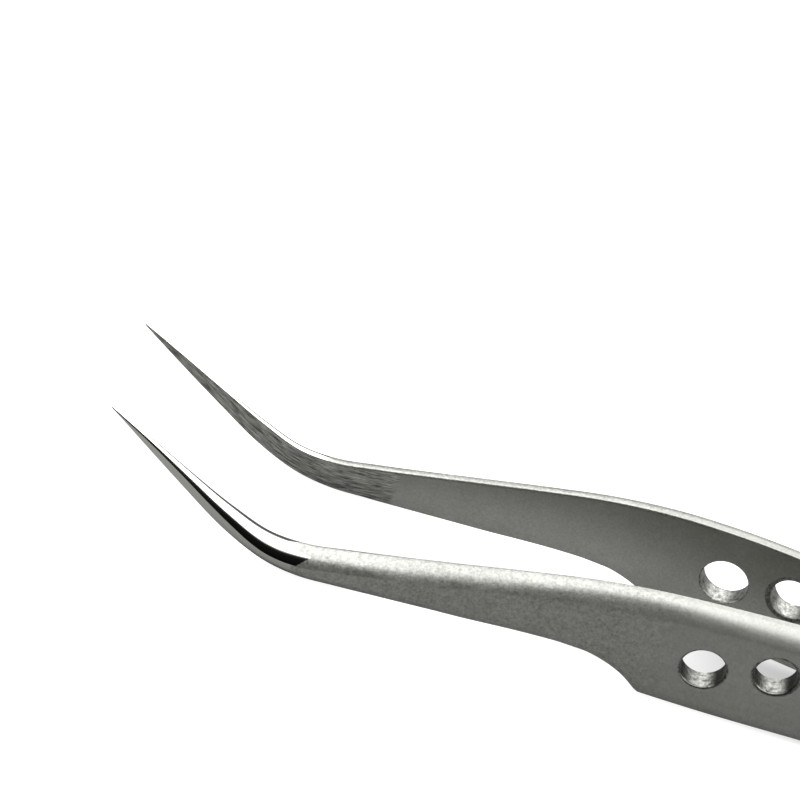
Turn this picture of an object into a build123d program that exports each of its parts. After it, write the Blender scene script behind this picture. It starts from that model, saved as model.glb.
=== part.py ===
"""Curved fine-point tweezers: two spring-steel arms welded together at the tail.

Frame: +X runs from the tips to the tail, +Z is up, Y is across the jaw gap.
The arms stand on edge: the lower edges of the grips and the undersides of the
two bends lie on z = 0.  The arms are mirror images about the plane y = 0.
Units are millimetres.
"""
import os
from math import cos, sin, radians

from build123d import *

# ---------------------------------------------------------------- dimensions
LENGTH = 120.0          # tips to tail
X_TIP = -LENGTH / 2     # plane of the tips
X_TAIL = LENGTH / 2     # end of the tail
THICK = 1.90            # sheet thickness of an arm at the grip
R_TOP = 1.38            # rounding of the outer top edge
R_LOW = 1.42            # rounding of the outer lower edge
C_IN = 0.10             # small bevel on the two edges of the inner face
WELD_X = 48.5           # front edge of the tail weld, where the inner faces meet
R_TAIL_TOP = 3.4        # planform corner of the tail, upper
R_TAIL_LOW = 2.6        # planform corner of the tail, lower
SKIM = 0.03             # ground off under the grips, which leaves them flat at z = 0

# grip holes of each arm: centre x, centre z, bore, outer lip rounding, inner rim bevel (width, depth)
HOLES_REAR = [(-9.85, 5.29, 3.90, 0.30, 0.10, 0.10), (-4.40, 6.30, 3.52, 0.06, 0.42, 0.14)]
HOLES_FRONT = [(-9.89, 4.87, 3.62, 0.18, 0.05, 0.05), (-4.40, 6.19, 3.40, 0.30, 0.08, 0.08)]

# upper edge of an arm (x, z)
TOP = [(-60.0, 9.08), (-56.5, 7.46), (-52.5, 5.56), (-48.5, 3.74), (-45.0, 2.56),
       (-42.0, 2.60), (-39.0, 3.34), (-35.5, 4.31), (-30.5, 5.76), (-25.5, 7.24),
       (-20.5, 8.60), (-15.5, 9.55), (-10.5, 10.07), (-5.5, 10.35), (1.5, 10.40),
       (12.0, 10.02), (25.0, 9.27), (38.0, 8.47), (WELD_X, 7.90), (X_TAIL, 7.40)]
# lower edge of an arm (x, z): bend, shank, finger notch, then the level grip
LOW = [(-60.0, 8.92), (-56.5, 6.60), (-52.5, 4.06), (-48.5, 1.73), (-45.0, 0.40),
       (-42.0, 0.04), (-39.0, 0.27), (-35.5, 0.62), (-32.0, 0.99), (-28.6, 1.37),
       (-26.5, 1.66), (-24.5, 1.92), (-22.5, 2.13), (-20.8, 2.25), (-19.2, 2.25),
       (-17.6, 2.00), (-16.4, 1.60), (-15.4, 1.10), (-14.65, 0.58), (-14.25, 0.27),
       (-13.90, 0.06), (-13.50, -SKIM), (-12.5, -SKIM), (-5.5, -SKIM), (12.0, -SKIM),
       (25.0, -SKIM), (38.0, -SKIM), (WELD_X, -SKIM), (X_TAIL, -SKIM)]
# half of the jaw gap: inner face at |y| (x, y)
GAP = [(-60.0, 5.68), (-51.5, 5.66), (-43.5, 5.48), (-37.5, 5.41), (-30.5, 5.36),
       (-24.5, 5.24), (-19.5, 5.07), (-14.5, 4.83), (-8.5, 4.40), (0.0, 3.52),
       (10.0, 2.57), (20.0, 1.77), (30.0, 1.10), (40.0, 0.51), (WELD_X, 0.0)]
# thickness (x, t): the sheet is ground away towards the tip
THIN = [(-60.0, 0.16), (-57.0, 0.30), (-54.0, 0.52), (-50.0, 0.96), (-46.5, 1.36),
        (-43.5, 1.58), (-40.0, 1.62), (-34.0, 1.62), (-26.0, 1.64), (-18.0, 1.78),
        (-11.0, 1.88), (-4.0, THICK), (X_TAIL, THICK)]
# share of the full edge roundings that is left (x, share)
ROUND_LOW = [(-60.0, 0.06), (-54.0, 0.20), (-48.0, 0.42), (-42.0, 0.56), (-34.0, 0.80),
             (-27.0, 1.00)]


# ---------------------------------------------------------------- curves
def slopes(pts):
    """Finite-difference tangents that keep level runs level (monotone cubic)."""
    n = len(pts)
    d = [(pts[i + 1][1] - pts[i][1]) / (pts[i + 1][0] - pts[i][0]) for i in range(n - 1)]
    m = [d[0]] + [0.0] * (n - 2) + [d[-1]]
    for i in range(1, n - 1):
        h0 = pts[i][0] - pts[i - 1][0]
        h1 = pts[i + 1][0] - pts[i][0]
        m[i] = (d[i - 1] * h1 + d[i] * h0) / (h0 + h1)
        if abs(d[i - 1]) < 1e-9 or abs(d[i]) < 1e-9:
            m[i] = 0.0
    return m


def at(pts, x):
    """Cubic Hermite value of a table at x, held level outside it."""
    if x <= pts[0][0]:
        return pts[0][1]
    if x >= pts[-1][0]:
        return pts[-1][1]
    m = slopes(pts)
    for i in range(len(pts) - 1):
        x0, y0 = pts[i]
        x1, y1 = pts[i + 1]
        if x <= x1:
            h = x1 - x0
            t = (x - x0) / h
            return ((2 * t ** 3 - 3 * t ** 2 + 1) * y0 + (t ** 3 - 2 * t ** 2 + t) * h * m[i]
                    + (-2 * t ** 3 + 3 * t ** 2) * y1 + (t ** 3 - t ** 2) * h * m[i + 1])


def section(x):
    """D-shaped cross-section: flat inner face, rounded outer edges."""
    y0 = at(GAP, x) if x < WELD_X else 0.0
    z1, z0 = at(TOP, x), at(LOW, x)
    t = at(THIN, x)
    rt = min(R_TOP, 0.84 * t, 0.62 * (z1 - z0))
    rl = min(R_LOW * at(ROUND_LOW, x), 0.78 * t, 0.34 * (z1 - z0))
    c = min(C_IN, 0.14 * t)
    s = sin(radians(45))
    pl = Plane(origin=(x, 0, 0), x_dir=(0, 1, 0), z_dir=(1, 0, 0))
    with BuildSketch(pl) as sk:
        with BuildLine():
            Line((y0, z0 + c), (y0, z1 - c))
            Line((y0, z1 - c), (y0 + c, z1))
            Line((y0 + c, z1), (y0 + t - rt, z1))
            ThreePointArc((y0 + t - rt, z1), (y0 + t - rt + rt * s, z1 - rt + rt * s), (y0 + t, z1 - rt))
            Line((y0 + t, z1 - rt), (y0 + t, z0 + rl))
            ThreePointArc((y0 + t, z0 + rl), (y0 + t - rl + rl * s, z0 + rl - rl * s), (y0 + t - rl, z0))
            Line((y0 + t - rl, z0), (y0 + c, z0))
            Line((y0 + c, z0), (y0, z0 + c))
        make_face()
    return sk.sketch


# ---------------------------------------------------------------- one arm (y > 0)
STATIONS = [-60.0, -58.2, -56.0, -53.5, -51.0, -48.5, -46.5, -45.0, -43.5, -42.0, -40.5,
            -38.8, -36.5, -33.5, -30.5, -27.5, -24.5, -22.5, -20.8, -19.4, -18.2, -17.2,
            -16.4, -15.7, -15.1, -14.6, -14.2, -13.85, -13.5, -13.1, -12.4, -11.0, -8.5,
            -4.0, 4.0, 12.0, 20.0, 29.0, 38.0, WELD_X]

body = loft([section(x) for x in STATIONS])
tail = loft([section(WELD_X), section((WELD_X + X_TAIL) / 2), section(X_TAIL)])
blank = body + tail
blank -= Pos(20, 0, -1) * Box(90, 20, 2)      # level underside of the grip

# tail corners in planform
with BuildSketch(Plane.XZ.offset(3.0)) as tail_sk:
    zt = at(TOP, X_TAIL - R_TAIL_TOP)
    with BuildLine():
        Line((X_TAIL - R_TAIL_TOP, zt + 1.5), (X_TAIL - R_TAIL_TOP, zt))
        CenterArc((X_TAIL - R_TAIL_TOP, zt - R_TAIL_TOP), R_TAIL_TOP, 0, 90)
        Line((X_TAIL, zt - R_TAIL_TOP), (X_TAIL + 2, zt - R_TAIL_TOP))
        Line((X_TAIL + 2, zt - R_TAIL_TOP), (X_TAIL + 2, zt + 1.5))
        Line((X_TAIL + 2, zt + 1.5), (X_TAIL - R_TAIL_TOP, zt + 1.5))
    make_face()
blank -= extrude(tail_sk.sketch, amount=-14.0)
with BuildSketch(Plane.XZ.offset(3.0)) as tail_sk2:
    with BuildLine():
        Line((X_TAIL - R_TAIL_LOW, -1.5), (X_TAIL - R_TAIL_LOW, 0))
        CenterArc((X_TAIL - R_TAIL_LOW, R_TAIL_LOW), R_TAIL_LOW, -90, 90)
        Line((X_TAIL, R_TAIL_LOW), (X_TAIL + 2, R_TAIL_LOW))
        Line((X_TAIL + 2, R_TAIL_LOW), (X_TAIL + 2, -1.5))
        Line((X_TAIL + 2, -1.5), (X_TAIL - R_TAIL_LOW, -1.5))
    make_face()
blank -= extrude(tail_sk2.sketch, amount=-14.0)


def punched(arm, holes):
    """The blank with its grip holes, square to the sheet at their centres."""
    for hx, hz, bore, lip_r, rim_c, rim_d in holes:
        slope = at(GAP, hx + 0.5) - at(GAP, hx - 0.5)
        n = Vector(-slope, 1, 0).normalized()
        pl = Plane(origin=(hx, at(GAP, hx), hz), x_dir=(n.Y, -n.X, 0), z_dir=(n.X, n.Y, 0))
        r, t = bore / 2, at(THIN, hx)
        arm = arm - pl * Cylinder(r, 3 * t)
        # outer lip: the corner outside a torus that touches the bore and the face
        lip = Cylinder(r + lip_r, lip_r + 0.4, align=(Align.CENTER, Align.CENTER, Align.MIN)) \
            - Torus(r + lip_r, lip_r)
        lip -= Cylinder(r - 0.3, 3)
        arm = arm - pl * Pos(0, 0, t - lip_r) * lip
        # inner rim bevel
        arm = arm - pl * Cone(r + rim_c, r, rim_d, align=(Align.CENTER, Align.CENTER, Align.MIN))
        arm = arm - pl * Cylinder(r + rim_c, 0.3, align=(Align.CENTER, Align.CENTER, Align.MAX))
    return arm


rear = punched(blank, HOLES_REAR)
front = mirror(punched(blank, HOLES_FRONT), about=Plane.XZ)

# ---------------------------------------------------------------- export
os.makedirs("parts", exist_ok=True)
for name, shape in (("arm_rear", rear), ("arm_front", front)):
    solid = shape.solids()[0] if len(shape.solids()) == 1 else shape
    export_step(solid, "parts/" + name + ".step")
    bb = solid.bounding_box()
    print(name, len(shape.solids()), "solid(s)", round(solid.volume, 2), "mm3",
          [round(v, 3) for v in (bb.min.X, bb.min.Y, bb.min.Z, bb.max.X, bb.max.Y, bb.max.Z)])
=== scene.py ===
import math

import bpy
import numpy as np
from mathutils import Matrix, Vector


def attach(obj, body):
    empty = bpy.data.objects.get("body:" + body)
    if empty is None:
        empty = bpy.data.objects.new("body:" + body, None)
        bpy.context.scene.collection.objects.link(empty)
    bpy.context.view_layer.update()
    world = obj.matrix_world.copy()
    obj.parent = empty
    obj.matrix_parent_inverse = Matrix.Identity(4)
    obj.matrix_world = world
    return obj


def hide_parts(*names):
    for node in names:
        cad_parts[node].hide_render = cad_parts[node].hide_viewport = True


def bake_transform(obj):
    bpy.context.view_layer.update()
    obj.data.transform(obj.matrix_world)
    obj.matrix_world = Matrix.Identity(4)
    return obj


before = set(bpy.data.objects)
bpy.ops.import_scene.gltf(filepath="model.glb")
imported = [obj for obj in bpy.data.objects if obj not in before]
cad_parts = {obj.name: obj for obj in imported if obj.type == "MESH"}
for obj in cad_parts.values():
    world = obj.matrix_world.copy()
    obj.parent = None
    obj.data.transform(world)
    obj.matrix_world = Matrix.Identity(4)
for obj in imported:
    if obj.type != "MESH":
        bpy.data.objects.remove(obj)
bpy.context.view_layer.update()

# The two steel arms are built here as fine, evenly meshed surfaces on the same curves as the CAD
# solids, so that the rounded edges, hole lips and the ground tip catch the light as real ones do.
# Lengths in the tables are millimetres; the meshes are in metres.

# ------------------------------------------------------------------ the arm's curves
X_TAIL = 60.0
THICK = 1.90
R_TOP = 1.38
R_LOW = 1.42
C_IN = 0.10
WELD_X = 48.5
R_TAIL_TOP = 3.4
R_TAIL_LOW = 2.6
SKIM = 0.03
HOLES = {
    "rear": [(-9.85, 5.29, 3.90, 0.30, 0.10, 0.10), (-4.40, 6.30, 3.52, 0.06, 0.42, 0.14)],
    "front": [(-9.89, 4.87, 3.62, 0.18, 0.05, 0.05), (-4.40, 6.19, 3.40, 0.30, 0.08, 0.08)],
}
TOP = [(-60.0, 9.08), (-56.5, 7.46), (-52.5, 5.56), (-48.5, 3.74), (-45.0, 2.56),
       (-42.0, 2.60), (-39.0, 3.34), (-35.5, 4.31), (-30.5, 5.76), (-25.5, 7.24),
       (-20.5, 8.60), (-15.5, 9.55), (-10.5, 10.07), (-5.5, 10.35), (1.5, 10.40),
       (12.0, 10.02), (25.0, 9.27), (38.0, 8.47), (WELD_X, 7.90), (X_TAIL, 7.40)]
LOW = [(-60.0, 8.92), (-56.5, 6.60), (-52.5, 4.06), (-48.5, 1.73), (-45.0, 0.40),
       (-42.0, 0.04), (-39.0, 0.27), (-35.5, 0.62), (-32.0, 0.99), (-28.6, 1.37),
       (-26.5, 1.66), (-24.5, 1.92), (-22.5, 2.13), (-20.8, 2.25), (-19.2, 2.25),
       (-17.6, 2.00), (-16.4, 1.60), (-15.4, 1.10), (-14.65, 0.58), (-14.25, 0.27),
       (-13.90, 0.06), (-13.50, -SKIM), (-12.5, -SKIM), (-5.5, -SKIM), (12.0, -SKIM),
       (25.0, -SKIM), (38.0, -SKIM), (WELD_X, -SKIM), (X_TAIL, -SKIM)]
GAP = [(-60.0, 5.68), (-51.5, 5.66), (-43.5, 5.48), (-37.5, 5.41), (-30.5, 5.36),
       (-24.5, 5.24), (-19.5, 5.07), (-14.5, 4.83), (-8.5, 4.40), (0.0, 3.52),
       (10.0, 2.57), (20.0, 1.77), (30.0, 1.10), (40.0, 0.51), (WELD_X, 0.0)]
THIN = [(-60.0, 0.16), (-57.0, 0.30), (-54.0, 0.52), (-50.0, 0.96), (-46.5, 1.36),
        (-43.5, 1.58), (-40.0, 1.62), (-34.0, 1.62), (-26.0, 1.64), (-18.0, 1.78),
        (-11.0, 1.88), (-4.0, THICK), (X_TAIL, THICK)]
ROUND_LOW = [(-60.0, 0.06), (-54.0, 0.20), (-48.0, 0.42), (-42.0, 0.56), (-34.0, 0.80),
             (-27.0, 1.00)]


def at(pts, x):
    """Cubic Hermite value of a table at x, the same as in the CAD source."""
    if x <= pts[0][0]:
        return pts[0][1]
    if x >= pts[-1][0]:
        return pts[-1][1]
    n = len(pts)
    for i in range(n - 1):
        if x <= pts[i + 1][0]:
            break

    def d(k):
        return (pts[k + 1][1] - pts[k][1]) / (pts[k + 1][0] - pts[k][0])

    def m(k):
        if k == 0:
            return d(0)
        if k == n - 1:
            return d(n - 2)
        if abs(d(k - 1)) < 1e-9 or abs(d(k)) < 1e-9:
            return 0.0
        h0 = pts[k][0] - pts[k - 1][0]
        h1 = pts[k + 1][0] - pts[k][0]
        return (d(k - 1) * h1 + d(k) * h0) / (h0 + h1)

    x0, y0 = pts[i]
    x1, y1 = pts[i + 1]
    h = x1 - x0
    t = (x - x0) / h
    return ((2 * t ** 3 - 3 * t ** 2 + 1) * y0 + (t ** 3 - 2 * t ** 2 + t) * h * m(i)
            + (-2 * t ** 3 + 3 * t ** 2) * y1 + (t ** 3 - t ** 2) * h * m(i + 1))


def gap(x):
    return at(GAP, x) if x < WELD_X else 0.0


# ------------------------------------------------------------------ the cross-section
NZ = 26          # rows up each flat face
N_CORNER = 3     # segments of each inner corner
N_TOP = 2        # flat top
N_ROUND = 14     # outer top rounding
N_LOW = 10       # outer lower rounding
END_R = 0.55     # rounding of the tail's end, outer edge


def shoulder(theta, turn, count, tight):
    """Unit rounding from the top (0, 1) to the side (1, 0): a wide arc that ends theta short of the
    side's direction, then a tight one of radius turn, as blasted edges on ground sheet have."""
    a0 = math.radians(theta)
    sy = (1 - turn) * math.cos(a0) + turn
    zb = (1 - turn) * math.sin(a0)
    sz = 1 - zb
    out = []
    for k in range(count):
        a = math.pi / 2 + (a0 - math.pi / 2) * k / (count - tight) if k <= count - tight else a0 * (count - k) / tight
        if k <= count - tight:
            y, z = math.cos(a), math.sin(a)
        else:
            y = (1 - turn) * math.cos(a0) + turn * math.cos(a)
            z = zb + turn * math.sin(a)
        ny, nz = math.cos(a) * sy, math.sin(a) * sz
        k2 = math.hypot(ny, nz)
        out.append(((y / sy, (z - zb) / sz), (ny / k2, nz / k2)))
    return out


SHOULDER = shoulder(16.0, 0.22, 14, 3)

# Ground and blasted edges are never exact arcs.  These tables say how the surface turns along the arm,
# in degrees: how much the shoulder leans up or down half-way round, how far the turn runs on into the
# outer face, and how far the narrow top leans to the inner side.
LEAN = [(-60.0, 6.5), (-44.0, 6.5), (-41.5, 3.0), (-38.0, 5.5), (-34.0, 6.0), (-30.5, 1.5), (-27.0, 2.0),
        (-23.5, -1.5), (-18.5, -8.0), (-15.0, -10.0), (-12.0, -8.0), (-9.0, -4.0), (-4.0, 0.0), (10.0, 0.0)]
RUN_ON = [(-60.0, 2.0), (-44.0, 3.5), (-41.0, 8.0), (-20.0, 9.5), (0.0, 9.0)]
RUN_ON_MM = [(-60.0, 0.15), (-44.0, 0.20), (-40.0, 0.60), (-24.0, 0.75), (-15.0, 0.55), (0.0, 0.55)]
TOP_LEAN = [(-60.0, 13.0), (-43.0, 13.0), (-40.0, 15.0), (-24.0, 11.0), (-13.0, 0.0), (0.0, 0.0)]
TOP_SPREAD = [(-60.0, 1.0), (-43.6, 1.0), (-42.4, 0.0), (0.0, 0.0)]
EDGE_TURN = [(-60.0, 3.0), (-44.0, 5.0), (-38.0, 13.0), (0.0, 14.0)]


def level(pts, x):
    return float(np.interp(x, [q[0] for q in pts], [q[1] for q in pts]))


def face_turn(x, below, outer):
    """Degrees by which a face still leans up, that far below its top."""
    if outer:
        top, reach = level(RUN_ON, x), level(RUN_ON_MM, x)
    else:
        top, reach = level(EDGE_TURN, x), 0.38
    return top * max(1 - max(below, 0.0) / reach, 0.0) ** 2


def rows(depth, dense, reach):
    """Distances below a face's top edge: dense rows within reach, then even ones."""
    reach = min(reach, 0.34 * depth)
    return [reach * k / dense for k in range(dense)] + \
           [reach + (depth - reach) * k / (NZ - dense) for k in range(NZ - dense + 1)]


def section(x):
    """Points (y, z), shading normals and outline angles (/ 90: 0 outer face, 1 top, 2 inner face, below 0
    underneath) of the D-section at x, starting at the foot of the inner face."""
    y0 = gap(x)
    z1, z0 = at(TOP, x), max(at(LOW, x), 0.0)
    t = at(THIN, x)
    if x > X_TAIL - R_TAIL_TOP:
        zt = at(TOP, X_TAIL - R_TAIL_TOP)
        dx = min(x - (X_TAIL - R_TAIL_TOP), R_TAIL_TOP)
        z1 = min(z1, zt - R_TAIL_TOP + math.sqrt(max(R_TAIL_TOP ** 2 - dx * dx, 0.0)))
    if x > X_TAIL - R_TAIL_LOW:
        dx = min(x - (X_TAIL - R_TAIL_LOW), R_TAIL_LOW)
        z0 = R_TAIL_LOW - math.sqrt(max(R_TAIL_LOW ** 2 - dx * dx, 0.0))
    if x > X_TAIL - END_R:
        dx = min(x - (X_TAIL - END_R), END_R)
        t -= END_R - math.sqrt(max(END_R ** 2 - dx * dx, 0.0))
    rt = min(R_TOP, 0.84 * t, 0.62 * (z1 - z0))
    rl = min(R_LOW * at(ROUND_LOW, x), 0.78 * t, 0.34 * (z1 - z0))
    c = min(C_IN, 0.14 * t)
    pts, nor, ang = [], [], []

    def put(y, z, shade, angle):
        """shade: the direction, in degrees, in which the surface is lit; angle: that of the outline."""
        pts.append((y, z))
        nor.append((math.cos(math.radians(shade)), math.sin(math.radians(shade))))
        ang.append(angle / 90)

    def arc(cy, cz, r, a0, a1, count, first=0):
        for k in range(first, count):
            a = a0 + (a1 - a0) * k / count
            put(cy + r * math.cos(math.radians(a)), cz + r * math.sin(math.radians(a)), a, a)

    for below in reversed(rows(z1 - z0 - 2 * c, 6, 0.40)):
        put(y0, z1 - c - below, 180 - face_turn(x, below, False), 180)
    arc(y0 + c, z1 - c, c, 180, 90, N_CORNER, first=1)
    over, spread = level(TOP_LEAN, x), level(TOP_SPREAD, x)
    for k in range(N_TOP):
        put(y0 + c + (t - rt - c) * k / N_TOP, z1, 90 + over * (1 - 0.4 * k * (1 - spread)), 90)
    lean, run_on = level(LEAN, x), level(RUN_ON, x)
    for (py, pz), (qy, qz) in SHOULDER:
        a = math.degrees(math.atan2(qz, qy))
        fold = min(max((a - 64) / 20, 0.0), 1.0)
        put(y0 + t - rt + rt * py, z1 - rt + rt * pz,
            run_on + a * (1 - run_on / 90) + lean * math.sin(math.radians(2 * a)) + over * spread * fold, a)
    for below in rows(z1 - rt - z0 - rl, 7, level(RUN_ON_MM, x))[:-1]:
        put(y0 + t, z1 - rt - below, face_turn(x, below, True), 0)
    arc(y0 + t - rl, z0 + rl, rl, 0, -90, N_LOW)
    for k in range(N_TOP):
        put(y0 + t - rl + (rl + c - t) * k / N_TOP, z0, -90, -90)
    arc(y0 + c, z0 + c, c, -90, -180, N_CORNER)
    return np.array(pts), np.array(nor), ang


I_INNER = 0                                       # first rail of the inner face
I_CORNER = NZ                                     # last rail of the inner face
I_OUTER = NZ + N_CORNER + N_TOP + N_ROUND         # first rail of the outer face (its top)
I_OUTER_END = I_OUTER + NZ                        # last rail of the outer face (its foot)
N_RAIL = 2 * NZ + 2 * N_CORNER + 2 * N_TOP + N_ROUND + N_LOW


# ------------------------------------------------------------------ stations along the arm
def spaced(a, b, step):
    n = max(1, int(round((b - a) / step)))
    return [a + (b - a) * k / n for k in range(n)]


CELL = 2.745                                       # half the width of a hole's cell
CELL_COLUMNS = 26
CELL_EDGES = [(-9.89 - CELL, -9.89 + CELL), (-9.89 + CELL, -4.40 + CELL)]


def stations():
    xs = [-60.0, -59.985, -59.95, -59.88]
    xs += spaced(-59.8, -46.5, 0.22)
    xs += spaced(-46.5, -40.0, 0.16)
    xs += spaced(-40.0, -24.0, 0.36)
    xs += spaced(-24.0, -17.0, 0.22)
    xs += spaced(-17.0, CELL_EDGES[0][0], 0.07)
    for a, b in CELL_EDGES:
        xs += [a + (b - a) * k / CELL_COLUMNS for k in range(CELL_COLUMNS)]
    xs += spaced(CELL_EDGES[1][1], WELD_X, 0.5)
    xs += spaced(WELD_X, X_TAIL - R_TAIL_TOP, 0.5)
    n = 26
    xs += [X_TAIL - R_TAIL_TOP + R_TAIL_TOP * math.sin(math.pi / 2 * k / n) for k in range(n + 1)]
    return xs


XS = stations()
CELL_COLS = [min(range(len(XS)), key=lambda i: abs(XS[i] - a)) for a, b in CELL_EDGES]

# arc length along the arm's mid-line, for grain that follows the bend
_mx = np.linspace(-60, 60, 1201)
_mz = np.array([(at(TOP, x) + max(at(LOW, x), 0.0)) / 2 for x in _mx])
_ms = np.concatenate([[0], np.cumsum(np.hypot(np.diff(_mx), np.diff(_mz)))])
_slope = np.gradient(_mz, _mx)


def along(x, z, angle):
    """(length along the arm from the tip, height off its mid-line, outline angle / 90) in mm."""
    k = float(np.interp(x, _mx, _slope))
    mid = float(np.interp(x, _mx, _mz))
    c = 1 / math.sqrt(1 + k * k)
    return (float(np.interp(x, _mx, _ms)) + (z - mid) * k * c, (z - mid) * c, angle)


class Skin:
    """Vertices, normals, shading coordinates and faces of one arm, in mm, for y > 0."""

    def __init__(self):
        self.p, self.n, self.a, self.h, self.e = [], [], [], [], []
        self.f, self.m, self.flat = [], [], []

    def point(self, p, n, angle, hole=(0.0, 0.0, 4.0)):
        self.p.append(tuple(float(v) for v in p))
        n = np.array(n, float)
        self.n.append(tuple(n / max(np.linalg.norm(n), 1e-12)))
        self.a.append(along(p[0], p[2], angle))
        self.h.append(hole)
        z1, z0 = at(TOP, p[0]), max(at(LOW, p[0]), 0.0)
        self.e.append((z1 - p[2], (p[2] - z0) / max(z1 - z0, 0.01), p[2] - z0))
        return len(self.p) - 1

    def face(self, ids, mat, flat=None):
        self.f.append(ids)
        self.m.append(mat)
        self.flat.append(flat)


OUTER, INNER, BORE = 0, 1, 2


def face_edges(x):
    """Heights at which the flat inner and outer faces end at the top, as in section()."""
    z1, z0, t = at(TOP, x), max(at(LOW, x), 0.0), at(THIN, x)
    return z1 - min(C_IN, 0.14 * t), z1 - min(R_TOP, 0.84 * t, 0.62 * (z1 - z0))


def arm(holes, from_outside):
    """from_outside: hole depths are counted from the outer face, otherwise from the inner one."""
    skin = Skin()
    grid = np.zeros((len(XS), N_RAIL, 3))
    flat = np.zeros((len(XS), N_RAIL, 2))
    for i, x in enumerate(XS):
        p, n, outline = section(x)
        grid[i, :, 0], grid[i, :, 1:], flat[i] = x, p, n
    # the point: the last rings close in to a small rounded nose
    nose = {0: 0.30, 1: 0.62, 2: 0.86, 3: 0.97}
    for i, k in nose.items():
        mid = grid[i, :, 1:].mean(0)
        grid[i, :, 1:] = mid + (grid[i, :, 1:] - mid) * k
    # surface normals: along the arm by differences, round the section from its own outline
    u = np.array([0.0] + list(np.cumsum([max(np.abs(grid[i + 1] - grid[i]).max(), 1e-6) for i in range(len(XS) - 1)])))
    du = np.gradient(grid, u, axis=0)
    around = np.zeros_like(grid)
    around[:, :, 1], around[:, :, 2] = -flat[:, :, 1], flat[:, :, 0]
    nor = np.cross(du, around)
    sign = np.sign((nor[:, :, 1:] * flat).sum(2))
    sign[sign == 0] = 1
    nor *= sign[:, :, None]

    ids = -np.ones((len(XS), N_RAIL), int)
    blocked = np.zeros((len(XS) - 1, N_RAIL), bool)
    for c0 in CELL_COLS:
        blocked[c0:c0 + CELL_COLUMNS, I_INNER:I_CORNER] = True
        blocked[c0:c0 + CELL_COLUMNS, I_OUTER:I_OUTER_END] = True
    need = np.zeros_like(ids, bool)
    for i in range(len(XS) - 1):
        for j in range(N_RAIL):
            if not blocked[i, j]:
                need[i:i + 2, [j, (j + 1) % N_RAIL]] = True
    for c0 in CELL_COLS:
        for i in (c0, c0 + CELL_COLUMNS):
            need[i, I_INNER:I_CORNER + 1] = need[i, I_OUTER:I_OUTER_END + 1] = True
    for i in range(len(XS)):
        for j in range(N_RAIL):
            if need[i, j]:
                ids[i, j] = skin.point(grid[i, j], nor[i, j], outline[j])
    for i in range(len(XS) - 1):
        for j in range(N_RAIL):
            if blocked[i, j]:
                continue
            k = (j + 1) % N_RAIL
            mat = INNER if j < I_CORNER else OUTER
            skin.face([ids[i, j], ids[i + 1, j], ids[i + 1, k], ids[i, k]], mat)
    # caps: the nose and the end of the tail
    tip = skin.point(grid[0].mean(0) - [0.004, 0, 0], (-1, 0, 0), 0.0)
    for j in range(N_RAIL):
        skin.face([ids[0, j], ids[0, (j + 1) % N_RAIL], tip], OUTER)
    last = len(XS) - 1
    mid = skin.point(grid[last].mean(0), (1, 0, 0), 0.0)
    for j in range(N_RAIL):
        skin.face([ids[last, (j + 1) % N_RAIL], ids[last, j], mid], OUTER, flat=(1.0, 0.0, 0.0))

    # holes
    for (hx, hz, bore, lip_r, rim_c, rim_d), c0 in zip(holes, CELL_COLS):
        slope = gap(hx + 0.5) - gap(hx - 0.5)
        n = np.array([-slope, 1.0, 0.0])
        n /= np.linalg.norm(n)
        ux = np.array([n[1], -n[0], 0.0])
        uz = np.array([0.0, 0.0, 1.0])
        o = np.array([hx, gap(hx), hz])
        r, t = bore / 2, at(THIN, hx)
        cols = list(range(c0, c0 + CELL_COLUMNS + 1))

        def border(a, b):
            """The cell's border as vertex ids, anticlockwise in (x, z); rails a at the foot and b at the top."""
            rails = list(range(a, b, 1 if b > a else -1)) + [b]
            loop = [ids[i, rails[0]] for i in cols]
            loop += [ids[cols[-1], j] for j in rails[1:]]
            loop += [ids[i, rails[-1]] for i in reversed(cols[:-1])]
            loop += [ids[cols[0], j] for j in reversed(rails[1:-1])]
            return loop

        inner = border(I_INNER, I_CORNER)
        outer = border(I_OUTER_END, I_OUTER)
        count = len(inner)

        def cell(loop, centre, radius, face_y, angle, mat, flip):
            """Rings from a circle on the face out to the border; returns the circle's vertex ids."""
            edge = np.array([skin.p[k] for k in loop])
            turn = np.arctan2(edge[:, 2] - centre[2], edge[:, 0] - centre[0])
            turn = np.unwrap(turn)
            even = turn[0] + np.linspace(0, 2 * math.pi, count, endpoint=False)
            turn = 0.55 * turn + 0.45 * (even + (turn - even).mean())
            ring_at = [0.0, 0.04, 0.09, 0.16, 0.25, 0.37, 0.50, 0.63, 0.75, 0.85, 0.93]
            rings = []
            for f in ring_at:
                ring = []
                for k in range(count):
                    rr = radius
                    cx = centre[0] + rr * math.cos(turn[k])
                    cz = centre[2] + rr * math.sin(turn[k])
                    x = cx + (edge[k, 0] - cx) * f
                    z = cz + (edge[k, 2] - cz) * f
                    h = 0.02
                    g = (face_y(x + h) - face_y(x - h)) / (2 * h)
                    ends = face_edges(x)
                    up = math.radians(face_turn(x, (ends[0] if angle == 2 else ends[1]) - z, angle != 2))
                    nn = np.array((g, -1.0, 0.0) if angle == 2 else (-g, 1.0, 0.0)) * math.cos(up)
                    nn[2] = math.sin(up)
                    away = math.hypot(x - centre[0], z - centre[2]) - radius
                    ring.append(skin.point((x, face_y(x), z), nn, angle,
                                           (math.cos(turn[k]), math.sin(turn[k]), away)))
                rings.append(ring)
            rings.append(list(loop))
            for q in range(len(rings) - 1):
                for k in range(count):
                    kk = (k + 1) % count
                    quad = [rings[q][k], rings[q + 1][k], rings[q + 1][kk], rings[q][kk]]
                    skin.face(quad if flip else quad[::-1], mat)
            return rings[0], turn

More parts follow.
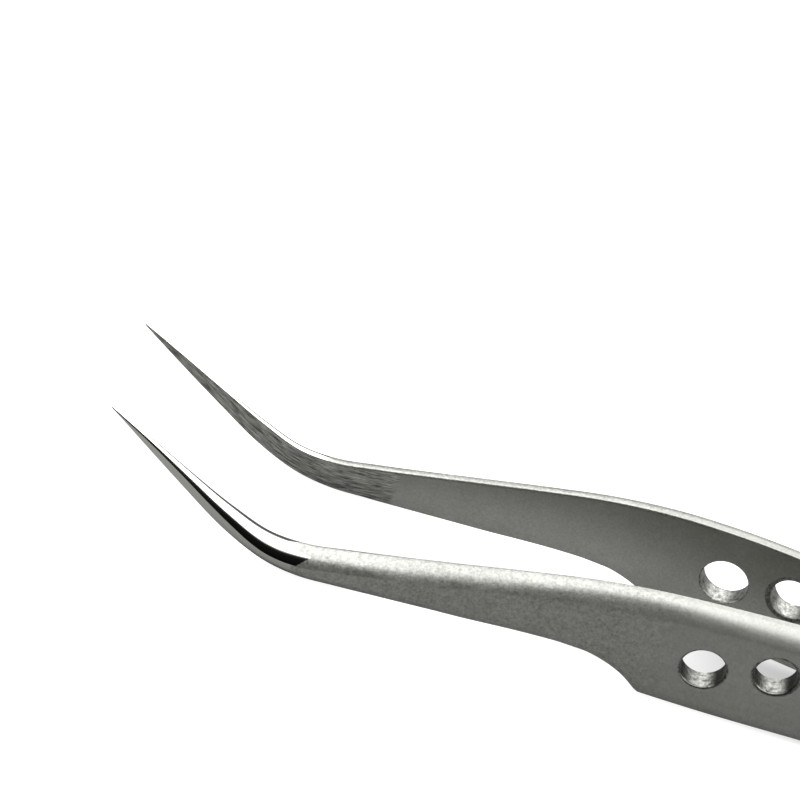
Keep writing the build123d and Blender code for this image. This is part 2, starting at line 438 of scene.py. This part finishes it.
        oc = o + t * n
        in_ring, turn = cell(inner, o, r + rim_c, gap, 2, INNER, True)
        out_ring, turn_out = cell(outer, oc, r + lip_r, lambda x: gap(x) + at(THIN, x), 0, OUTER, False)

        def wall_ring(depth, radius, radial, axial, angles):
            ring = []
            for k in range(count):
                e = ux * math.cos(angles[k]) + uz * math.sin(angles[k])
                p = o + n * depth + e * radius
                ring.append(skin.point(p, -e * radial + n * axial, 0.0,
                                       (math.cos(angles[k]), math.sin(angles[k]),
                                        depth - t if from_outside else -depth)))
            return ring

        loops = [out_ring]
        n_lip = 6
        for q in range(1, n_lip + 1):
            a = math.pi / 2 * q / n_lip
            loops.append(wall_ring(t - lip_r * (1 - math.cos(a)), r + lip_r - lip_r * math.sin(a),
                                   math.sin(a), math.cos(a), turn_out))
        depth0, depth1 = t - lip_r, rim_d
        n_wall = 7
        for q in range(1, n_wall + 1):
            f = q / n_wall
            mix = turn_out * (1 - f) + turn * f
            loops.append(wall_ring(depth0 + (depth1 - depth0) * f, r, 1.0, 0.0, mix))
        n_rim = 5
        slant = math.hypot(rim_c, rim_d)
        for q in range(1, n_rim):
            # a bevel, softened where it meets the bore and the face
            f = q / n_rim
            ease = min(max((f - 0.0) / 0.3, 0.0), 1.0)
            radial, axial = (1 - ease) + ease * rim_d / slant, -ease * rim_c / slant
            loops.append(wall_ring(rim_d * (1 - f), r + rim_c * f, radial, axial, turn))
        loops.append(in_ring)
        for q in range(len(loops) - 1):
            for k in range(count):
                kk = (k + 1) % count
                skin.face([loops[q][k], loops[q + 1][k], loops[q + 1][kk], loops[q][kk]], BORE)
    return skin


def to_object(name, skin, side):
    """side +1 keeps the arm at y > 0, -1 mirrors it."""
    p = np.array(skin.p)
    n = np.array(skin.n)
    p[:, 1] *= side
    n[:, 1] *= side
    faces = skin.f if side > 0 else [f[::-1] for f in skin.f]
    mesh = bpy.data.meshes.new(name)
    mesh.from_pydata((p / 1000).tolist(), [], faces)
    mesh.polygons.foreach_set("material_index", np.array(skin.m, np.int32))
    mesh.polygons.foreach_set("use_smooth", np.ones(len(faces), bool))
    mesh.update()
    for key, values in (("along", skin.a), ("place", p), ("hole", skin.h), ("edge", skin.e)):
        att = mesh.attributes.new(key, "FLOAT_VECTOR", "POINT")
        att.data.foreach_set("vector", np.array(values, np.float32).ravel())
    corner = []
    for ids, flat in zip(faces, skin.flat):
        corner += [flat] * len(ids) if flat else [tuple(n[k]) for k in ids]
    mesh.normals_split_custom_set(corner)
    obj = bpy.data.objects.new(name, mesh)
    bpy.context.scene.collection.objects.link(obj)
    return obj


rear = to_object("steel_arm_rear", arm(HOLES["rear"], False), +1)
front = to_object("steel_arm_front", arm(HOLES["front"], True), -1)


# ------------------------------------------------------------------ materials
class Nodes:
    """Small helper for node trees."""

    def __init__(self, tree):
        self.t = tree

    def new(self, kind, **inputs):
        node = self.t.nodes.new(kind)
        for k, v in inputs.items():
            if hasattr(node, k) and not isinstance(getattr(node, k), bpy.types.NodeInputs):
                setattr(node, k, v)
        return node

    def link(self, a, b):
        self.t.links.new(a, b)

    def put(self, socket, v):
        if isinstance(v, bpy.types.NodeSocket):
            self.link(v, socket)
        else:
            socket.default_value = v

    def math(self, op, a, b=None, c=None, clamp=False):
        node = self.t.nodes.new("ShaderNodeMath")
        node.operation = op
        node.use_clamp = clamp
        for s, v in zip(node.inputs, (a, b, c)):
            if v is not None:
                self.put(s, v)
        return node.outputs[0]

    def ramp(self, v, lo, hi, a=0.0, b=1.0, smooth=True):
        node = self.t.nodes.new("ShaderNodeMapRange")
        node.interpolation_type = "SMOOTHSTEP" if smooth else "LINEAR"
        node.clamp = True
        self.put(node.inputs[0], v)
        for s, x in zip((1, 2, 3, 4), (lo, hi, a, b)):
            self.put(node.inputs[s], x)
        return node.outputs[0]

    def mix(self, f, a, b):
        node = self.t.nodes.new("ShaderNodeMix")
        node.data_type = "FLOAT"
        self.put(node.inputs[0], f)
        self.put(node.inputs[2], a)
        self.put(node.inputs[3], b)
        return node.outputs[0]

    def noise(self, vector, scale, detail=2.0, rough=0.5, distortion=0.0, offset=(0, 0, 0), stretch=(1, 1, 1)):
        m = self.t.nodes.new("ShaderNodeMapping")
        m.inputs["Location"].default_value = offset
        m.inputs["Scale"].default_value = tuple(scale * s for s in stretch)
        self.link(vector, m.inputs["Vector"])
        node = self.t.nodes.new("ShaderNodeTexNoise")
        node.inputs["Scale"].default_value = 1.0
        node.inputs["Detail"].default_value = detail
        node.inputs["Roughness"].default_value = rough
        node.inputs["Distortion"].default_value = distortion
        self.link(m.outputs[0], node.inputs["Vector"])
        return node.outputs["Fac"]

    def attribute(self, name):
        node = self.t.nodes.new("ShaderNodeAttribute")
        node.attribute_type = "GEOMETRY"
        node.attribute_name = name
        return node

    def split(self, vector):
        node = self.t.nodes.new("ShaderNodeSeparateXYZ")
        self.link(vector, node.inputs[0])
        return node.outputs

    def grey(self, v, warm=0.94):
        """A neutral steel colour of that brightness, very slightly warm."""
        node = self.t.nodes.new("ShaderNodeCombineColor")
        self.put(node.inputs[0], v)
        self.put(node.inputs[1], v)
        self.put(node.inputs[2], self.math("MULTIPLY", v, warm))
        return node.outputs[0]

    def bump(self, height, distance, strength=1.0, normal=None):
        node = self.t.nodes.new("ShaderNodeBump")
        node.inputs["Strength"].default_value = strength
        node.inputs["Distance"].default_value = distance
        self.link(height, node.inputs["Height"])
        if normal is not None:
            self.link(normal, node.inputs["Normal"])
        return node.outputs["Normal"]


def material(name):
    mat = bpy.data.materials.new(name)
    mat.use_nodes = True
    tree = mat.node_tree
    tree.nodes.clear()
    out = tree.nodes.new("ShaderNodeOutputMaterial")
    bsdf = tree.nodes.new("ShaderNodeBsdfPrincipled")
    tree.links.new(bsdf.outputs[0], out.inputs[0])
    bsdf.inputs["Metallic"].default_value = 1.0
    return mat, Nodes(tree), bsdf


SATIN, POLISH = 0.33, 0.66


def outer_steel():
    """Outer faces and rounded edges: bead-blasted satin, mirror-polished round the tip."""
    mat, n, bsdf = material("satin_steel_polished_tip")
    place = n.attribute("place").outputs["Vector"]
    way = n.attribute("along").outputs["Vector"]
    px, py, pz = n.split(place)
    s, h, angle = n.split(way)
    below, share, above = n.split(n.attribute("edge").outputs["Vector"])

    # where the polish stops: a ragged line that runs out in a point on the rounding
    ragged = n.noise(place, 3.6, 3, 0.6)
    wedge = n.math("MINIMUM", n.ramp(angle, 0.0, 0.46, smooth=False), n.ramp(angle, 0.62, 0.50, smooth=False))
    edge = n.math("MULTIPLY_ADD", ragged, 0.34, n.math("MULTIPLY_ADD", wedge, 1.25, -42.92))
    satin = n.ramp(n.math("SUBTRACT", px, edge), -0.04, 0.06)

    # blasted satin, calmer on the grip
    fine = n.noise(place, 4.6, 3, 0.7)
    grain = n.noise(place, 2.2, 2, 0.6, offset=(7, 3, 1))
    cloud = n.noise(place, 0.42, 3, 0.55, offset=(2, 9, 4))
    smear = n.noise(way, 1.0, 3, 0.6, stretch=(0.22, 1.5, 1.0), offset=(5, 1, 8))
    calm = n.ramp(px, -17.0, -11.0, 1.0, 0.42)
    spots = n.math("MULTIPLY_ADD", n.math("SUBTRACT", fine, 0.5), 0.46, n.math("MULTIPLY_ADD", grain, 0.22, -0.11))
    tone = n.math("MULTIPLY_ADD", spots, calm, SATIN)
    tone = n.math("MULTIPLY_ADD", n.math("SUBTRACT", cloud, 0.5), 0.05, tone)
    tone = n.math("MULTIPLY_ADD", n.math("SUBTRACT", smear, 0.5), 0.05, tone)

    # the polish: lighter towards the point, with lengthwise wiping marks
    wipe = n.noise(way, 1.0, 3, 0.62, stretch=(0.25, 4.2, 1.0), offset=(4, 4, 2))
    gloss = n.math("MULTIPLY_ADD", n.math("SUBTRACT", wipe, 0.5), 0.22, n.ramp(px, -44.0, -56.0, POLISH, 0.80, False))
    n.link(n.grey(n.mix(satin, gloss, tone)), bsdf.inputs["Base Color"])
    n.link(n.mix(satin, 1.0, 0.82), bsdf.inputs["Metallic"])

    rough = n.ramp(px, -37.5, -33.5, 0.36, 0.48)
    rough = n.math("SUBTRACT", rough, n.math("MULTIPLY", n.ramp(px, -27.5, -24.5), n.ramp(px, -19.5, -22.5, 0.0, 0.06)))
    rough = n.math("MULTIPLY_ADD", n.math("SUBTRACT", cloud, 0.5), 0.08, rough)
    rough = n.math("MULTIPLY_ADD", n.math("SUBTRACT", fine, 0.5), 0.10, rough)
    hair = n.noise(way, 1.0, 2, 0.6, stretch=(0.5, 9.0, 3.0))
    mirror = n.math("MULTIPLY_ADD", hair, 0.04, n.ramp(px, -45.5, -54.5, 0.035, 0.17))
    n.link(n.mix(satin, mirror, rough), bsdf.inputs["Roughness"])

    blast = n.math("ADD", n.math("MULTIPLY", fine, 0.8), grain)
    # centred on zero, so that the satin doesn't stand above the polish at their border
    blast = n.math("MULTIPLY", n.math("SUBTRACT", blast, 0.9), calm)
    height = n.mix(satin, n.math("MULTIPLY_ADD", hair, 0.04, -0.02), blast)
    n.link(n.bump(height, 0.00003, 0.7), bsdf.inputs["Normal"])
    return mat


def inner_steel():
    """Inner faces: lengthwise ground streaks at the tip, then a smooth satin."""
    mat, n, bsdf = material("ground_inner_steel")
    place = n.attribute("place").outputs["Vector"]
    way = n.attribute("along").outputs["Vector"]
    px, py, pz = n.split(place)
    below, share, above = n.split(n.attribute("edge").outputs["Vector"])
    ragged = n.noise(place, 2.4, 2, 0.6)
    edge = n.math("MULTIPLY_ADD", ragged, 0.5, -37.2)
    satin = n.ramp(n.math("SUBTRACT", px, edge), -0.25, 0.35)

    streak = n.noise(way, 1.0, 3, 0.62, stretch=(0.75, 8.5, 1.0))
    blotch = n.noise(way, 1.0, 2, 0.5, stretch=(0.5, 1.6, 1.0), offset=(3, 8, 2))
    fine = n.noise(place, 4.6, 3, 0.7)
    cloud = n.noise(place, 0.35, 4, 0.6, offset=(12, 4, 9))
    tone_g = n.math("ADD", n.ramp(streak, 0.32, 0.68, 0.12, 0.78, False), n.ramp(blotch, 0.3, 0.7, -0.12, 0.10, False))
    tone_s = n.math("MULTIPLY_ADD", n.math("SUBTRACT", fine, 0.5), 0.36, 0.56)
    tone_s = n.math("MULTIPLY_ADD", n.math("SUBTRACT", cloud, 0.5), 0.14, tone_s)
    # painted shade: the inner face is darker under its top edge and lighter towards its foot
    tone_s = n.math("MULTIPLY", tone_s, n.ramp(share, 1.0, 0.05, 0.74, 1.20))
    n.link(n.grey(n.mix(satin, tone_g, tone_s)), bsdf.inputs["Base Color"])
    rough_g = n.ramp(streak, 0.3, 0.7, 0.40, 0.24, False)
    rough_s = n.math("MULTIPLY_ADD", n.math("SUBTRACT", cloud, 0.5), 0.10, 0.30)
    n.link(n.mix(satin, rough_g, rough_s), bsdf.inputs["Roughness"])
    height = n.mix(satin, n.math("MULTIPLY", streak, 1.2), n.math("MULTIPLY", fine, 0.4))
    n.link(n.bump(height, 0.00002, 0.5), bsdf.inputs["Normal"])
    return mat


def bore_steel():
    """Hole walls: bright, speckled by the blasting; the front arm's walls carry painted shade."""
    mat, n, bsdf = material("blasted_bore_steel")
    place = n.attribute("place").outputs["Vector"]
    speck = n.noise(place, 2.6, 3, 0.7)
    fine = n.noise(place, 6.0, 2, 0.6, offset=(4, 4, 4))
    tone = n.math("ADD", n.ramp(speck, 0.34, 0.66, 0.12, 0.46, False), n.math("MULTIPLY_ADD", fine, 0.14, -0.07))
    # painted shade: the front arm's hole walls below the outer lip are darkened, most at their sides and top, least at
    # the bottom where the wall faces up
    ca, sa, depth = n.split(n.attribute("hole").outputs["Vector"])
    px, py, pz = n.split(place)
    painted_wall_shade = n.mix(n.ramp(py, 0.5, -0.5), 1.0, n.ramp(sa, -0.98, -0.55, 0.85, 0.22))
    tone = n.math("MULTIPLY", tone, n.mix(n.ramp(depth, -0.12, 0.0), painted_wall_shade, 1.0))
    n.link(n.grey(tone), bsdf.inputs["Base Color"])
    n.link(n.ramp(speck, 0.3, 0.7, 0.42, 0.26, False), bsdf.inputs["Roughness"])
    n.link(n.bump(n.math("ADD", speck, n.math("MULTIPLY", fine, 0.4)), 0.00004, 0.6), bsdf.inputs["Normal"])
    return mat


steels = [outer_steel(), inner_steel(), bore_steel()]
for obj in (rear, front):
    for m in steels:
        obj.data.materials.append(m)

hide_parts("arm_rear")
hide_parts("arm_front")
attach(rear, "rear")
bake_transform(front)


# ------------------------------------------------------------------ studio
def plane(name, half, z, tone):
    mesh = bpy.data.meshes.new(name)
    mesh.from_pydata([(-half, -half, z), (half, -half, z), (half, half, z), (-half, half, z)], [], [(0, 1, 2, 3)])
    mesh.update()
    obj = bpy.data.objects.new(name, mesh)
    bpy.context.scene.collection.objects.link(obj)
    mat = bpy.data.materials.new(name)
    mat.use_nodes = True
    bsdf = mat.node_tree.nodes["Principled BSDF"]
    bsdf.inputs["Base Color"].default_value = (tone, tone, tone, 1)
    bsdf.inputs["Roughness"].default_value = 0.9
    bsdf.inputs["Specular IOR Level"].default_value = 0.0
    mesh.materials.append(mat)
    return obj, bsdf


floor, floor_bsdf = plane("floor", 3.0, -0.00006, 0.30)
floor_bsdf.inputs["Emission Color"].default_value = (1, 1, 1, 1)
floor_bsdf.inputs["Emission Strength"].default_value = 0.95
floor.visible_glossy = False
# a soft shadow in the narrow gap between the grips
fn = Nodes(floor.data.materials[0].node_tree)
fx, fy, fz = fn.split(fn.t.nodes.new("ShaderNodeTexCoord").outputs["Object"])
dim = fn.math("MULTIPLY", fn.ramp(fn.math("ABSOLUTE", fy), 0.006, 0.0025), fn.ramp(fx, -0.017, -0.002, 0.25, 0.62))
fn.link(fn.grey(fn.math("SUBTRACT", 1.0, dim), 1.0), floor_bsdf.inputs["Emission Color"])
fn.link(fn.grey(fn.math("MULTIPLY_ADD", dim, -0.25, 0.30), 1.0), floor_bsdf.inputs["Base Color"])
card, card_bsdf = plane("table_card", 3.0, -0.00003, 0.15)
card.visible_camera = False
card.visible_diffuse = False
card.visible_shadow = False
card.visible_transmission = False
cn = Nodes(card.data.materials[0].node_tree)
where = cn.t.nodes.new("ShaderNodeTexCoord").outputs["Object"]
cx, cy, cz = cn.split(where)
shade = cn.ramp(cy, -0.032, -0.018, 0.01, 0.15)
cn.link(cn.grey(shade, 1.0), card_bsdf.inputs["Base Color"])

world = bpy.data.worlds.new("studio")
bpy.context.scene.world = world
world.use_nodes = True
wt = world.node_tree
wt.nodes.clear()
w = Nodes(wt)
coord = wt.nodes.new("ShaderNodeTexCoord")
dx, dy, dz = w.split(coord.outputs["Generated"])
# angle about the long axis: 0 the horizon in front, 1 overhead, 2 the horizon behind
round_x = w.math("DIVIDE", w.math("ARCTAN2", dz, w.math("MULTIPLY", dy, -1.0)), math.pi / 2)
ramp = wt.nodes.new("ShaderNodeValToRGB")
ramp.color_ramp.interpolation = "LINEAR"
stops = [(0.0, 0.001), (0.44, 0.003), (0.56, 0.01), (0.62, 0.25), (0.69, 1.0), (1.62, 1.0), (1.68, 0.5),
         (1.74, 0.12), (1.84, 0.04), (2.0, 0.03)]
els = ramp.color_ramp.elements
while len(els) > 1:
    els.remove(els[-1])
els[0].position = stops[0][0] / 2
els[0].color = (stops[0][1],) * 3 + (1,)
for pos, v in stops[1:]:
    e = els.new(pos / 2)
    e.color = (v, v, v, 1)
w.link(w.math("DIVIDE", round_x, 2.0), ramp.inputs[0])
back = wt.nodes.new("ShaderNodeBackground")
w.link(ramp.outputs[0], back.inputs[0])
back.inputs[1].default_value = 3.4
out = wt.nodes.new("ShaderNodeOutputWorld")
w.link(back.outputs[0], out.inputs[0])

# ------------------------------------------------------------------ camera
right = Vector((0.94033611, 0.19256688, 0.28051024))
down = Vector((0.3399426, -0.5665821, -0.75061558))
fwd = Vector((0.01438837, 0.80118832, -0.59823929))
cam_data = bpy.data.cameras.new("camera")
cam = bpy.data.objects.new("camera", cam_data)
bpy.context.scene.collection.objects.link(cam)
pose = Matrix((right, -down, -fwd)).transposed().to_4x4()
pose.translation = Vector((-0.04558103, -0.35949769, 0.28316917))
cam.matrix_world = pose
cam_data.sensor_width = 36.0
cam_data.lens = 259.5226
cam_data.clip_start = 0.01
cam_data.clip_end = 20.0
bpy.context.scene.camera = cam

bpy.context.scene.view_settings.view_transform = "Standard"
bpy.context.scene.view_settings.look = "None"
